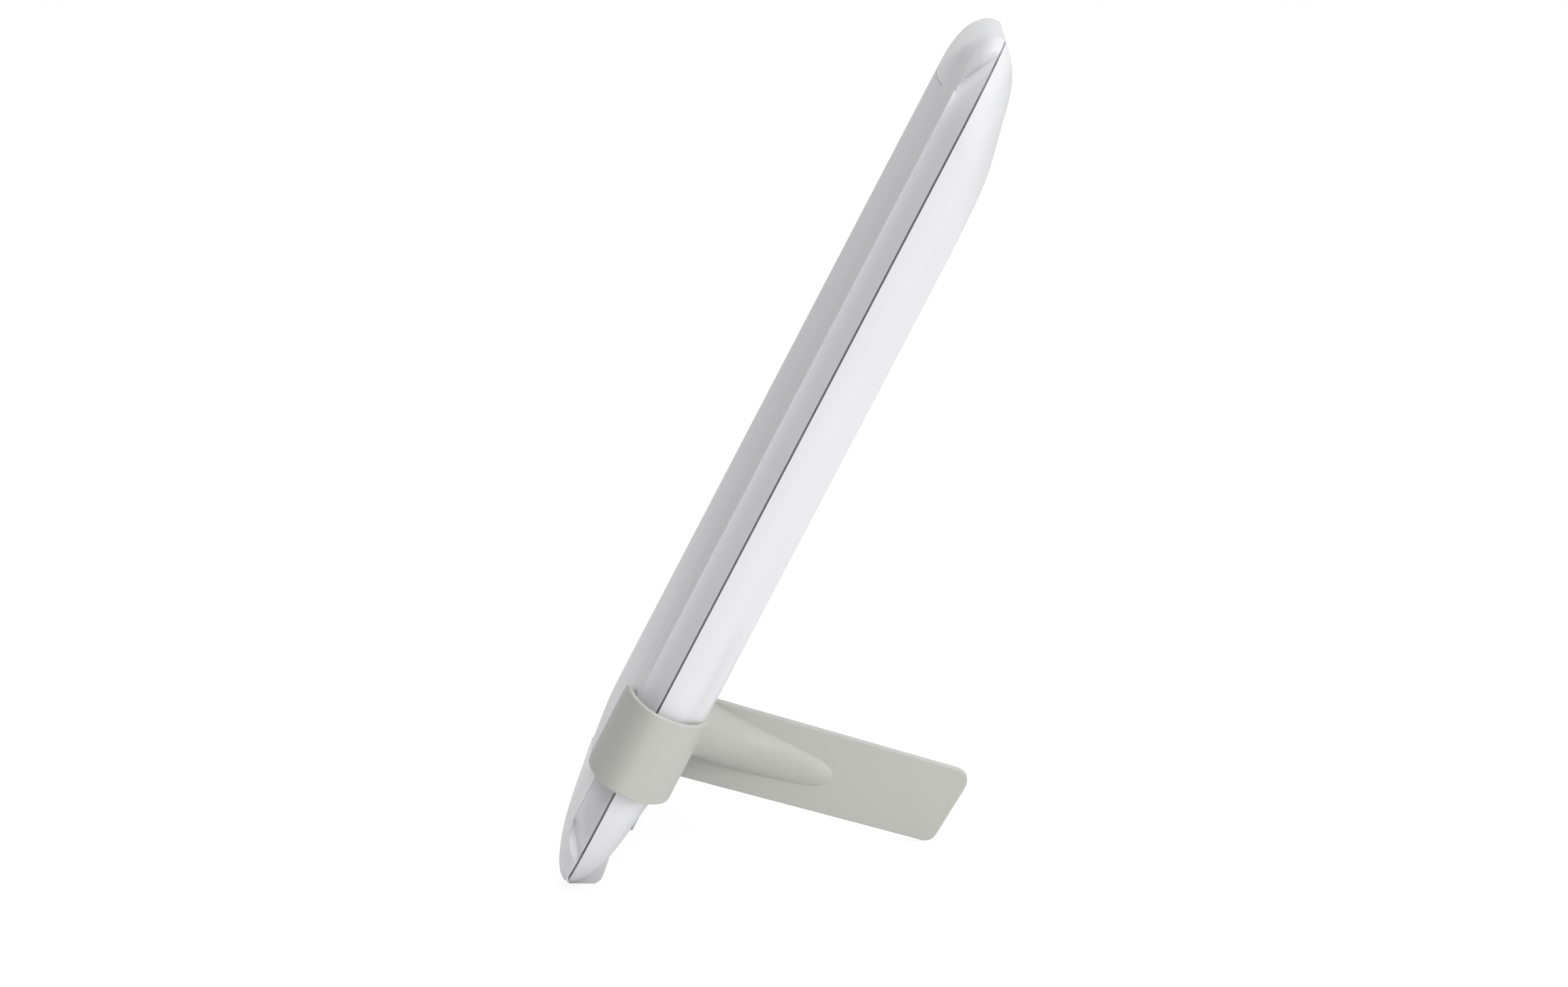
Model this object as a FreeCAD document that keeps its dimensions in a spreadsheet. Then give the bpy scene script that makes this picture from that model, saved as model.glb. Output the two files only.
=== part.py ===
"""Light therapy lamp: a slim white panel that leans back in a one-piece stand with two clips and a fin.

The panel is modelled upright: X across it, Y from front to back, Z up its length. The parting plane of its two
halves is Y = 0, its lower end is Z = 0. Every sub-part then gets the same lean about X and stands on the table.
"""

import FreeCAD, Part
import math
import os

import Sketcher
from FreeCAD import Placement, Rotation, Vector

doc = FreeCAD.newDocument("LightTherapyLamp")
sheet = doc.addObject("Spreadsheet::Sheet", "Dim")

DIMENSIONS = {
    # The panel as a whole.
    "lean": 27.4,
    "panel_width": 156.0,
    "panel_length": 235.0,
    "corner_radius": 25.0,
    "front_depth": 10.3,
    "rear_depth": 11.2,
    "wall": 2.0,
    "reveal": 0.5,
    # The front half: a domed face, a crease, then a flank out to the parting plane.
    "dome_rise": 4.4,
    "crease_inset": 7.0,
    "front_top_run": 16.0,
    "front_top_drop": 9.0,
    "front_base_run": 42.0,
    "front_base_drop": 10.8,
    "channel_reach": 3.1,
    "channel_depth": 0.9,
    # The rear half is a pillow with a long taper at both ends.
    "rear_side_run": 22.0,
    "rear_top_run": 40.0,
    "rear_top_drop": 13.5,
    "rear_base_run": 52.0,
    "rear_base_drop": 10.7,
    "plateau_rise": 0.5,
    "plateau_side": 28.0,
    "plateau_low": 58.0,
    "plateau_high": 138.0,
    "rib_inset": 10.0,
    "rib_width": 1.6,
    # The light field.
    "window_side": 17.0,
    "window_low": 30.0,
    "window_top": 17.0,
    "window_corner": 12.0,
    "window_gap": 0.15,
    "flange_reach": 3.0,
    "flange_thickness": 1.5,
    "pocket_depth": 5.5,
    "gasket_thickness": 1.0,
    "sheet_thickness": 0.5,
    "tray_wall": 1.2,
    "tray_slope_run": 5.0,
    "board_thickness": 1.2,
    "board_seat": 5.6,
    "board_clear": 2.7,
    "led_size": 2.8,
    "led_height": 0.7,
    "led_columns": 7,
    "led_rows": 11,
    "led_side_margin": 13.0,
    "led_end_margin": 14.0,
    "spreader_thickness": 1.0,
    # Two screws low on the back and the posts that take them.
    "post_radius": 3.9,
    "post_side": 20.0,
    "post_below": 8.0,
    "post_gap": 0.7,
    "front_post_radius": 2.4,
    "screw_radius": 1.2,
    "screw_head_radius": 2.4,
    "screw_head_height": 1.5,
    "screw_length": 10.0,
    "screw_seat": 7.1,
    "small_screw_radius": 0.8,
    "small_screw_length": 3.2,
    "small_post_radius": 2.2,
    # Snap hooks on the front, and the catches in the rear wall that hold them.
    "hook_low": 66.0,
    "hook_pitch": 56.0,
    "hook_width": 8.0,
    "hook_thickness": 1.4,
    "hook_reach": 5.0,
    "hook_bump": 0.6,
    "hook_inset": 0.6,
    "catch_front": 2.0,
    "catch_back": 3.3,
    # The key, its switch and the board behind them.
    "key_radius": 6.0,
    "key_below": 12.0,
    "key_gap": 0.08,
    "key_proud": 0.2,
    "key_flange": 1.2,
    "key_travel": 0.6,
    "key_rest_gap": 0.05,
    "plunger_length": 1.6,
    "switch_seat": 0.3,
    "switch_post_offset": 11.0,
    "switch_size": 6.0,
    "plunger_radius": 1.6,
    "switch_board_width": 30.0,
    "switch_board_height": 12.0,
    # The driver and the supply socket, low in the panel.
    "driver_width": 38.0,
    "driver_height": 12.0,
    "driver_side": 43.5,
    "driver_seat": 3.4,
    "driver_post_pitch": 32.0,
    "lead_radius": 0.7,
    "lead_low": 12.8,
    "jack_side": 36.0,
    "jack_below": 10.0,
    "jack_width": 9.0,
    "jack_nose_radius": 4.0,
    "jack_bore_radius": 2.75,
    "jack_bore_depth": 9.0,
    "jack_pin_radius": 1.0,
    "jack_face": 8.3,
    "jack_body_back": 5.2,
    "jack_body_depth": 10.0,
    # Feet under the lower end.
    "foot_side": 36.0,
    "foot_width": 26.0,
    "foot_reach": 8.2,
    "foot_rise": 8.9,
    "foot_drop": 0.9,
    # The stand.
    "clip_low": 31.0,
    "clip_height": 22.0,
    "clip_wall": 1.8,
    "clip_run": 22.4,
    "clip_tuck": 20.7,
    "clip_middle": 0.6,
    "clip_front_reach": 8.6,
    "clip_back_reach": 11.8,
    "lip_corner": 4.5,
    "fin_thickness": 3.6,
    "fin_root": 12.6,
    "fin_length": 68.5,
    "fin_root_low": 25.0,
    "fin_root_high": 48.5,
    "fin_tip_high": 62.4,
    "fin_corner": 3.5,
    "fin_edge": 1.2,
}

# Sizes that follow from those above.
DERIVED = {
    "window_width": "panel_width - 2 * window_side",
    "window_high": "panel_length - window_top",
    "led_pitch_across": "(window_width - 2 * led_side_margin) / (led_columns - 1)",
    "led_pitch_along": "(window_high - window_low - 2 * led_end_margin) / (led_rows - 1)",
    "key_height": "window_low - key_below",
    "post_offset": "panel_width / 2 - post_side",
    "post_height": "window_low - post_below",
    "jack_offset": "jack_side - panel_width / 2",
    "jack_height": "window_low - jack_below",
    "driver_offset": "panel_width / 2 - driver_side",
    "foot_offset": "panel_width / 2 - foot_side",
    "plateau_half": "panel_width / 2 - plateau_side",
    "rib_offset": "plateau_half - rib_inset",
    "clip_centre": "panel_width / 2 - clip_tuck",
    "hook_place": "panel_width / 2 - crease_inset - hook_inset",
}

CELLS = dict(DIMENSIONS)
CELLS.update((name, "=" + formula) for name, formula in DERIVED.items())
for row, (name, content) in enumerate(CELLS.items(), start=1):
    sheet.set("A%d" % row, name)
    sheet.set("B%d" % row, str(content))
    sheet.setAlias("B%d" % row, name)
doc.recompute()

PARTS = []


def size(expression):
    """The number that an expression on the sheet gives now."""
    result = sheet.evalExpression(expression)
    return float(getattr(result, "Value", result))


def dim(expression):
    """Names of the sheet's cells become references that other objects can use."""
    words = []
    word = ""
    for letter in expression + " ":
        if letter.isalnum() or letter == "_":
            word += letter
            continue
        words.append("Dim." + word if word in CELLS else word)
        words.append(letter)
        word = ""
    return "".join(words).strip()


def new_body(name):
    body = doc.addObject("PartDesign::Body", name)
    body.Label = name
    body.AllowCompound = True
    PARTS.append(body)
    return body


def new_sketch(body, name, role, offset="0"):
    """A sketch on one of the body's own planes, moved along the plane's normal."""
    sketch = body.newObject("Sketcher::SketchObject", name)
    base = [f for f in body.Origin.OriginFeatures if f.Role == role][0]
    sketch.AttachmentSupport = [(base, "")]
    sketch.MapMode = "FlatFace"
    sketch.setExpression("AttachmentOffset.Base.z", dim(offset))
    return sketch


def bind(sketch, constraint, expression):
    """Adds a dimension that follows the sheet."""
    kind = constraint[0]
    index = sketch.addConstraint(Sketcher.Constraint(*constraint, size(expression)))
    name = "%s%d" % (kind.lower(), index)
    sketch.renameConstraint(index, name)
    sketch.setExpression("Constraints." + name, dim(expression))


def rounded(sketch, left, right, low, high, radius):
    """A rectangle with round corners. All five sizes are expressions."""
    x0, x1, y0, y1, r = size(left), size(right), size(low), size(high), size(radius)
    first = sketch.GeometryCount
    corners = [(x1 - r, y0 + r, -90), (x1 - r, y1 - r, 0), (x0 + r, y1 - r, 90), (x0 + r, y0 + r, 180)]
    sides = [
        ((x0 + r, y0), (x1 - r, y0)),
        ((x1, y0 + r), (x1, y1 - r)),
        ((x1 - r, y1), (x0 + r, y1)),
        ((x0, y1 - r), (x0, y0 + r)),
    ]
    for (start, end), (cx, cy, angle) in zip(sides, corners):
        sketch.addGeometry(Part.LineSegment(Vector(*start, 0), Vector(*end, 0)))
        circle = Part.Circle(Vector(cx, cy, 0), Vector(0, 0, 1), r)
        begin = math.radians(angle)
        sketch.addGeometry(Part.ArcOfCircle(circle, begin, begin + math.pi / 2))
    for k in range(8):
        here, after = first + k, first + (k + 1) % 8
        sketch.addConstraint(Sketcher.Constraint("Tangent", here, 2, after, 1))
    sketch.addConstraint(Sketcher.Constraint("Horizontal", first))
    sketch.addConstraint(Sketcher.Constraint("Vertical", first + 2))
    for k in (3, 5, 7):
        sketch.addConstraint(Sketcher.Constraint("Equal", first + 1, first + k))
    bind(sketch, ("Radius", first + 1), radius)
    bind(sketch, ("DistanceX", -1, 1, first + 6, 1), left)
    bind(sketch, ("DistanceX", -1, 1, first + 2, 1), right)
    bind(sketch, ("DistanceY", -1, 1, first, 1), low)
    bind(sketch, ("DistanceY", -1, 1, first + 4, 1), high)


def rectangle(sketch, left, right, low, high):
    """A plain rectangle. All four sizes are expressions."""
    polygon(sketch, [(left, low), (right, low), (right, high), (left, high)])


def polygon(sketch, points):
    """A closed outline whose corner places are expressions."""
    first = sketch.GeometryCount
    places = [Vector(size(x), size(y), 0) for x, y in points]
    count = len(places)
    for k in range(count):
        sketch.addGeometry(Part.LineSegment(places[k], places[(k + 1) % count]))
    for k in range(count):
        sketch.addConstraint(Sketcher.Constraint("Coincident", first + k, 2, first + (k + 1) % count, 1))
    for k, (x, y) in enumerate(points):
        bind(sketch, ("DistanceX", -1, 1, first + k, 1), x)
        bind(sketch, ("DistanceY", -1, 1, first + k, 1), y)


def circle(sketch, x, y, radius):
    first = sketch.addGeometry(Part.Circle(Vector(size(x), size(y), 0), Vector(0, 0, 1), size(radius)))
    bind(sketch, ("Radius", first), radius)
    bind(sketch, ("DistanceX", -1, 1, first, 3), x)
    bind(sketch, ("DistanceY", -1, 1, first, 3), y)


def pad(body, name, sketch, length, both_ways=False):
    feature = body.newObject("PartDesign::Pad", name)
    feature.Profile = sketch
    feature.setExpression("Length", dim(length))
    if both_ways:
        feature.Midplane = True
    return feature


def pocket(body, name, sketch, depth, to_front=True):
    """Cuts towards the panel's front, or towards its back."""
    feature = body.newObject("PartDesign::Pocket", name)
    feature.Profile = sketch
    feature.setExpression("Length", dim(depth))
    feature.Reversed = to_front
    return feature


def loft(body, name, kind, sketches):
    feature = body.newObject("PartDesign::" + kind, name)
    feature.Profile = sketches[0]
    feature.Sections = sketches[1:]
    return feature


def mirrored(body, name, features):
    """The same features on the panel's other half."""
    feature = body.newObject("PartDesign::Mirrored", name)
    feature.Originals = features
    side = [f for f in body.Origin.OriginFeatures if f.Role == "YZ_Plane"][0]
    feature.MirrorPlane = (side, [""])
    body.Tip = feature
    return feature


def slab(name, left, right, low, high, radius, back, thickness):
    """A flat piece across the panel: its rear face lies at back and it reaches forward by its thickness."""
    body = new_body(name)
    sketch = new_sketch(body, name + "_outline", "XZ_Plane", "-(%s)" % back)
    if radius:
        rounded(sketch, left, right, low, high, radius)
    else:
        rectangle(sketch, left, right, low, high)
    pad(body, name + "_pad", sketch, thickness)
    return body


def rise(run, drop, depth):
    """How far an elliptical end has drawn in at a depth below the flat face it runs into."""
    return "(%s * (1 - sqrt(1 - ((%s - (%s)) / %s) ^ 2)))" % (run, drop, depth, drop)


# Panel forms
HALF = "(panel_width / 2)"


def front_section(body, name, depth, half_width, radius, inset="0"):
    """The front half's outline at a depth below its highest point."""
    sketch = new_sketch(body, name, "XZ_Plane", "front_depth - (%s) - (%s)" % (depth, inset))
    low = rise("front_base_run", "front_base_drop", depth) + " + " + inset
    high = "panel_length - %s - %s" % (rise("front_top_run", "front_top_drop", depth), inset)
    rounded(sketch, "-(%s - %s)" % (half_width, inset), "%s - %s" % (half_width, inset), low, high, radius)
    return sketch


def flank(share):
    """Half width on the front's flank: share runs from 0 at the parting plane to 1 at the crease."""
    return "(panel_width / 2 - crease_inset * %s ^ 2)" % share


def dome_width(share):
    """Half width of the domed face at a share of its rise below the top."""
    return "((panel_width / 2 - crease_inset) * %s ^ 0.45)" % share


def front_dome(body, name, kind, inset="0"):
    """The domed face as a loft from the crease up to the nearly flat middle."""
    shares = [(1.0, 22), (0.64, 22), (0.34, 21), (0.13, 18), (0.03, 11)]
    sections = []
    for k, (share, radius) in enumerate(shares):
        depth = "dome_rise * %s" % share
        section = front_section(body, "%s_%d" % (name, k), depth, dome_width(share), str(radius), inset)
        sections.append(section)
    return loft(body, name, kind, sections)


# front_frame: the glossy front moulding round the light field
front = new_body("front_frame")
shares = [0.0, 0.34, 0.67, 1.0]
flanks = []
for k, share in enumerate(shares):
    depth = "front_depth - reveal / 2 - (front_depth - reveal / 2 - dome_rise) * %s" % share
    flanks.append(front_section(front, "flank_%d" % k, depth, flank(share), "corner_radius - 3 * %s" % share))
loft(front, "flank_form", "AdditiveLoft", flanks)
front_dome(front, "face_form", "AdditiveLoft")
cavity = new_sketch(front, "cavity_outline", "XZ_Plane", "0")
CAVITY_HALF = "(panel_width / 2 - crease_inset - 1.5 * wall)"
CAVITY_LOW = "(%s + wall)" % rise("front_base_run", "front_base_drop", "front_depth - pocket_depth")
CAVITY_HIGH = "(panel_length - %s - wall)" % rise("front_top_run", "front_top_drop", "front_depth - pocket_depth")
rounded(cavity, "-" + CAVITY_HALF, CAVITY_HALF, CAVITY_LOW, CAVITY_HIGH, "corner_radius - 2.5 * wall")
pocket(front, "cavity", cavity, "pocket_depth")
window = new_sketch(front, "window_outline", "XZ_Plane", "0")
rounded(window, "-window_width / 2", "window_width / 2", "window_low", "window_high", "window_corner")
pocket(front, "window", window, "front_depth + 1")
channel = new_sketch(front, "channel_profile", "XY_Plane", "0")
CREASE = "(-(front_depth - dome_rise))"
polygon(
    channel,
    [
        ("panel_width / 2 - crease_inset - channel_depth", CREASE),
        ("panel_width / 2 + 1", CREASE),
        ("panel_width / 2 + 1", CREASE + " + channel_reach"),
        ("panel_width / 2 - 1.1", CREASE + " + channel_reach"),
        ("panel_width / 2 - crease_inset * 0.62 - channel_depth", CREASE + " + channel_reach * 0.42"),
    ],
)
groove = pocket(front, "channel", channel, "panel_length")
mirrored(front, "channel_pair", [groove])
TONGUE_HALF = "(panel_width / 2 - wall - 0.6)"
TONGUE_LOW = "(%s + wall + 0.4)" % rise("rear_base_run", "rear_base_drop", "rear_depth - wall - 1.5")
TONGUE_HIGH = "(panel_length - %s - wall - 0.4)" % rise("rear_top_run", "rear_top_drop", "rear_depth - wall - 1.5")
tongue = new_sketch(front, "tongue_outline", "XZ_Plane", "-1.5")
rounded(tongue, "-" + TONGUE_HALF, TONGUE_HALF, TONGUE_LOW, TONGUE_HIGH, "corner_radius - wall - 0.6")
rounded(
    tongue,
    "-(%s - 1.4)" % TONGUE_HALF,
    TONGUE_HALF + " - 1.4",
    TONGUE_LOW + " + 1.4",
    TONGUE_HIGH + " - 1.4",
    "corner_radius - wall - 2",
)
pad(front, "tongue", tongue, "3")
front_posts = new_sketch(front, "front_post_outline", "XZ_Plane", "-(post_gap - 0.1)")
for x in ("-post_offset", "post_offset"):
    circle(front_posts, x, "post_height", "front_post_radius")
pad(front, "front_posts", front_posts, "pocket_depth + post_gap + 0.5")
threads = new_sketch(front, "thread_outline", "XZ_Plane", "-(post_gap - 0.1)")
for x in ("-post_offset", "post_offset"):
    circle(threads, x, "post_height", "screw_radius + 0.05")
pocket(front, "threads", threads, "screw_length - screw_seat + 1")
hooks = []
for k in range(3):
    hook = new_sketch(front, "hook_profile_%d" % k, "XY_Plane", "hook_low + hook_pitch * %d" % k)
    polygon(
        hook,
        [
            ("hook_place - hook_thickness", "-0.8"),
            ("hook_place", "-0.8"),
            ("hook_place", "catch_back + 0.1"),
            ("hook_place + hook_bump", "catch_back + 0.3"),
            ("hook_place", "hook_reach"),
            ("hook_place - hook_thickness", "hook_reach"),
        ],
    )
    hooks.append(pad(front, "hook_%d" % k, hook, "hook_width"))
mirrored(front, "hooks", hooks)
key_hole = new_sketch(front, "key_hole_outline", "XZ_Plane", "0")
circle(key_hole, "0", "key_height", "key_radius + key_gap")
pocket(front, "key_hole", key_hole, "front_depth + 1")

SPREADER_BACK = "(board_seat + spreader_thickness)"

# rear_housing: the rear tray, with posts for the screws and a slightly raised middle
rear = new_body("rear_housing")


def rear_section(body, name, back, inset="0"):
    """The rear half's outline at a distance behind the parting plane."""
    sketch = new_sketch(body, name, "XZ_Plane", "-(%s)" % back)
    depth = "(rear_depth - %s - (%s))" % (inset, back)
    side = "(rear_side_run * (1 - sqrt(1 - 0.97 * ((%s) / (rear_depth - %s)) ^ 2)))" % (back, inset)
    half = "panel_width / 2 - %s - %s" % (side, inset)
    low = rise("rear_base_run", "rear_base_drop", depth) + " + " + inset
    high = "panel_length - %s - %s" % (rise("rear_top_run", "rear_top_drop", depth), inset)
    rounded(sketch, "-(%s)" % half, half, low, high, "corner_radius - %s" % inset)
    return sketch


def rear_form(body, name, kind, start, inset):
    stations = [start] + ["(rear_depth - %s) * %s" % (inset, share) for share in (0.35, 0.66, 0.88, 1.0)]
    sections = [rear_section(body, "%s_%d" % (name, k), back, inset) for k, back in enumerate(stations)]
    return loft(body, name, kind, sections)


rear_form(rear, "shell_form", "AdditiveLoft", "reveal / 2", "0")
rear_form(rear, "shell_cavity", "SubtractiveLoft", "reveal / 2", "wall")
plateau = new_sketch(rear, "plateau_outline", "XZ_Plane", "-(rear_depth + plateau_rise)")
rounded(plateau, "-plateau_half", "plateau_half", "plateau_low", "plateau_high", "window_corner")
pad(rear, "plateau", plateau, "wall")
ribs = new_sketch(rear, "rib_outline", "XZ_Plane", "-(rear_depth - wall / 2)")
for side in ("-rib_offset", "0", "rib_offset"):
    rectangle(ribs, side + " - rib_width / 2", side + " + rib_width / 2", "plateau_low", "plateau_high + 50")
pad(rear, "ribs", ribs, "rear_depth - wall / 2 - " + SPREADER_BACK)
posts = new_sketch(rear, "post_outline", "XZ_Plane", "-(screw_seat + 0.3)")
for x in ("-post_offset", "post_offset"):
    circle(posts, x, "post_height", "post_radius")
pad(rear, "posts", posts, "screw_seat + 0.3 - post_gap")
catches = []
for k in range(3):
    catch = new_sketch(rear, "catch_profile_%d" % k, "XY_Plane", "hook_low + hook_pitch * %d" % k)
    rectangle(catch, "hook_place + 0.15", "panel_width / 2 - wall", "catch_front", "catch_back")
    catches.append(pad(rear, "catch_%d" % k, catch, "hook_width"))
mirrored(rear, "catches", catches)
board_posts = new_sketch(rear, "board_post_outline", "XZ_Plane", "-(rear_base_drop - 3.4)")
for x in ("-switch_post_offset", "switch_post_offset"):
    circle(board_posts, x, "key_height", "small_post_radius")
pad(rear, "switch_posts", board_posts, "rear_base_drop - 3.4 - switch_seat")
driver_posts = new_sketch(rear, "driver_post_outline", "XZ_Plane", "-(rear_base_drop - 3.4)")
for side in ("- driver_post_pitch / 2", "+ driver_post_pitch / 2"):
    circle(driver_posts, "driver_offset " + side, "key_height", "small_post_radius")
pad(rear, "driver_posts", driver_posts, "rear_base_drop - 3.4 - driver_seat")
recess = new_sketch(rear, "screw_recess_outline", "XZ_Plane", "-(rear_depth + 1)")
for x in ("-post_offset", "post_offset"):
    circle(recess, x, "post_height", "screw_head_radius + 0.2")
pocket(rear, "screw_recesses", recess, "rear_depth + 1 - screw_seat")
shanks = new_sketch(rear, "shank_outline", "XZ_Plane", "-(rear_depth + 1)")
for x in ("-post_offset", "post_offset"):
    circle(shanks, x, "post_height", "screw_radius + 0.15")
pocket(rear, "shank_holes", shanks, "rear_depth + 1")
inlet = new_sketch(rear, "inlet_outline", "XZ_Plane", "-(rear_depth + 1)")
circle(inlet, "jack_offset", "jack_height", "jack_nose_radius + window_gap")
pocket(rear, "inlet_hole", inlet, "rear_depth")
thread = new_sketch(rear, "thread_outline", "XZ_Plane", "-switch_seat")
for x in ("-switch_post_offset", "switch_post_offset"):
    circle(thread, x, "key_height", "small_screw_radius + 0.05")
pocket(rear, "switch_threads", thread, "small_screw_length", False)
driver_thread = new_sketch(rear, "driver_thread_outline", "XZ_Plane", "-driver_seat")
for side in ("- driver_post_pitch / 2", "+ driver_post_pitch / 2"):
    circle(driver_thread, "driver_offset " + side, "key_height", "small_screw_radius + 0.05")
pocket(rear, "driver_threads", driver_thread, "small_screw_length", False)
FOOT_TOP = [("foot_reach * %s" % reach, "foot_rise * %s" % level) for reach, level in
            (("0.1", "0.11"), ("0.36", "0.27"), ("0.61", "0.65"), ("0.73", "1"))]
seats = new_sketch(rear, "foot_seat_profile", "YZ_Plane", "-(foot_offset + foot_width / 2)")
polygon(seats, FOOT_TOP + [("foot_reach + 2", "foot_rise"), ("foot_reach + 2", "-3"), ("foot_reach * 0.1", "-3")])
seat_cut = rear.newObject("PartDesign::Pocket", "foot_seat")
seat_cut.Profile = seats
seat_cut.setExpression("Length", dim("foot_width"))
seat_cut.Reversed = True
mirrored(rear, "foot_seats", [seat_cut])

# foot_left and foot_right: wedge pads whose undersides lie in the table's plane
for name, start in (("foot_left", "-(foot_offset + foot_width / 2)"), ("foot_right", "foot_offset - foot_width / 2")):
    foot = new_body(name)
    profile = new_sketch(foot, name + "_profile", "YZ_Plane", start)
    table = "-foot_drop + tan(lean * 1 deg) * "
    outline = [("foot_reach * 0.1", table + "(foot_reach * 0.1)"), ("foot_reach * 0.83", table + "(foot_reach * 0.83)")]
    outline += [("foot_reach * 0.93", "foot_rise * 0.47"), ("foot_reach * 0.915", "foot_rise * 0.7")]
    outline.append(("foot_reach * 0.82", "foot_rise"))
    polygon(profile, outline + FOOT_TOP[::-1])
    pad(foot, name + "_pad", profile, "foot_width")

# diffuser: opal panel that carries on the front's dome inside the window
diffuser = new_body("diffuser")
front_dome(diffuser, "lens_form", "AdditiveLoft", "0.35")
INNER = "window_width / 2 - window_gap"
trim = new_sketch(diffuser, "lens_trim", "XZ_Plane", "0")
rectangle(trim, "-panel_width", "panel_width", "-panel_width", "panel_length * 2")
rounded(trim, "-(%s)" % INNER, INNER, "window_low + window_gap", "window_high - window_gap", "window_corner")
pocket(diffuser, "lens_edge", trim, "front_depth + 1")
plug = new_sketch(diffuser, "plug_outline", "XZ_Plane", "pocket_depth - flange_thickness")
rounded(plug, "-(%s)" % INNER, INNER, "window_low + window_gap", "window_high - window_gap", "window_corner")
pad(diffuser, "plug", plug, "flange_thickness + 0.6")
FLANGE_HALF = "window_width / 2 + flange_reach"
flange = new_sketch(diffuser, "flange_outline", "XZ_Plane", "pocket_depth - flange_thickness")
rounded(
    flange,
    "-(%s)" % FLANGE_HALF,
    FLANGE_HALF,
    "window_low - flange_reach",
    "window_high + flange_reach",
    "window_corner",
)
pad(diffuser, "flange", flange, "flange_thickness")
hollow = new_sketch(diffuser, "hollow_outline", "XZ_Plane", "pocket_depth - flange_thickness")
rounded(hollow, "-(%s - 3)" % INNER, INNER + " - 3", "window_low + 3", "window_high - 3", "window_corner - 3")
pocket(diffuser, "hollow", hollow, "flange_thickness + 0.4")

# Light engine: gasket, sheet, tray, board with its light chips, and spreader, one behind the other
GASKET_BACK = "(-(pocket_depth - flange_thickness - gasket_thickness))"
gasket = new_body("diffuser_gasket")
ring = new_sketch(gasket, "gasket_outline", "XZ_Plane", "-" + GASKET_BACK)
rounded(
    ring,
    "-(%s)" % FLANGE_HALF,
    FLANGE_HALF,
    "window_low - flange_reach",
    "window_high + flange_reach",
    "window_corner",
)
rounded(ring, "-window_width / 2", "window_width / 2", "window_low", "window_high", "window_corner - 2")
pad(gasket, "gasket_pad", ring, "gasket_thickness")
slab(
    "prism_sheet",
    "-(%s - 0.5)" % INNER,
    INNER + " - 0.5",
    "window_low + 0.6",
    "window_high - 0.6",
    "window_corner - 2",
    GASKET_BACK + " - gasket_thickness + sheet_thickness",
    "sheet_thickness",
)
TRAY_HALF = "(window_width / 2 + tray_wall)"
TRAY_LOW = "(window_low - tray_wall - 0.4)"
TRAY_HIGH = "(window_high + tray_wall + 0.4)"


def rear_room(back):
    """How high a flat piece may reach in the rear tray at a distance behind the parting plane."""
    inside = rise("rear_top_run", "rear_top_drop", "rear_depth - wall - (%s)" % back)
    return "panel_length - %s - wall - board_clear" % inside


tray = slab(
    "reflector_tray",
    "-" + TRAY_HALF,
    TRAY_HALF,
    TRAY_LOW,
    TRAY_HIGH,
    "window_corner",
    "board_seat - board_thickness",
    "board_seat - board_thickness - " + GASKET_BACK,
)
mouths = []
for k, (back, draw) in enumerate(((GASKET_BACK, "0"), ("(board_seat - board_thickness)", "tray_slope_run"))):
    mouth = new_sketch(tray, "tray_mouth_%d" % k, "XZ_Plane", "-" + back)
    half = "window_width / 2 - 1 - " + draw
    rounded(mouth, "-(%s)" % half, half, "window_low + 1 + " + draw, "window_high - 1 - " + draw, "window_corner - 4")
    mouths.append(mouth)
loft(tray, "tray_slopes", "SubtractiveLoft", mouths)
slab(
    "led_board",
    "-" + TRAY_HALF,
    TRAY_HALF,
    TRAY_LOW,
    rear_room("board_seat"),
    "window_corner",
    "board_seat",
    "board_thickness",
)
slab(
    "heat_spreader",
    "-(%s - 2)" % TRAY_HALF,
    TRAY_HALF + " - 2",
    TRAY_LOW + " + 2",
    rear_room(SPREADER_BACK),
    "window_corner",
    "board_seat + spreader_thickness",
    "spreader_thickness",
)
leds = new_body("leds")
first_led = new_sketch(leds, "led_outline", "XZ_Plane", "-(board_seat - board_thickness)")
LED_X = "(led_side_margin - window_width / 2)"
LED_Z = "(window_low + led_end_margin - 2)"
rectangle(
    first_led,
    LED_X + " - led_size / 2",
    LED_X + " + led_size / 2",
    LED_Z + " - led_size / 2",
    LED_Z + " + led_size / 2",
)
chip = pad(leds, "led", first_led, "led_height")
steps = []
for name, axis, count, pitch in (
    ("led_row", "X_Axis", "led_columns", "led_pitch_across"),
    ("led_field", "Z_Axis", "led_rows", "led_pitch_along"),
):
    step = doc.addObject("PartDesign::LinearPattern", name)
    line = [f for f in leds.Origin.OriginFeatures if f.Role == axis][0]
    step.Direction = (line, [""])
    step.Mode = "Spacing"
    step.setExpression("Offset", dim(pitch))
    step.setExpression("Occurrences", dim(count))
    steps.append(step)
field = leds.newObject("PartDesign::MultiTransform", "led_grid")
field.Originals = [chip]
field.Transformations = steps
leds.Tip = field

# power_button: its face carries on the front's dome, its flange sits behind the front's wall
key = new_body("power_button")
front_dome(key, "key_form", "AdditiveLoft", "(-key_proud)")
key_trim = new_sketch(key, "key_trim", "XZ_Plane", "0")
rectangle(key_trim, "-panel_width", "panel_width", "-panel_width", "panel_length * 2")
circle(key_trim, "0", "key_height", "key_radius")
pocket(key, "key_edge", key_trim, "front_depth + 2")
key_stem = new_sketch(key, "key_stem_outline", "XZ_Plane", "pocket_depth - key_rest_gap")
circle(key_stem, "0", "key_height", "key_radius")
pad(key, "key_stem", key_stem, "0.9")
key_flange = new_sketch(key, "key_flange_outline", "XZ_Plane", "pocket_depth - key_rest_gap - key_flange")
circle(key_flange, "0", "key_height", "key_radius + key_flange")
pad(key, "key_flange", key_flange, "key_flange")
KEY_BACK = "(-(pocket_depth - key_rest_gap - key_flange))"

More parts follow.
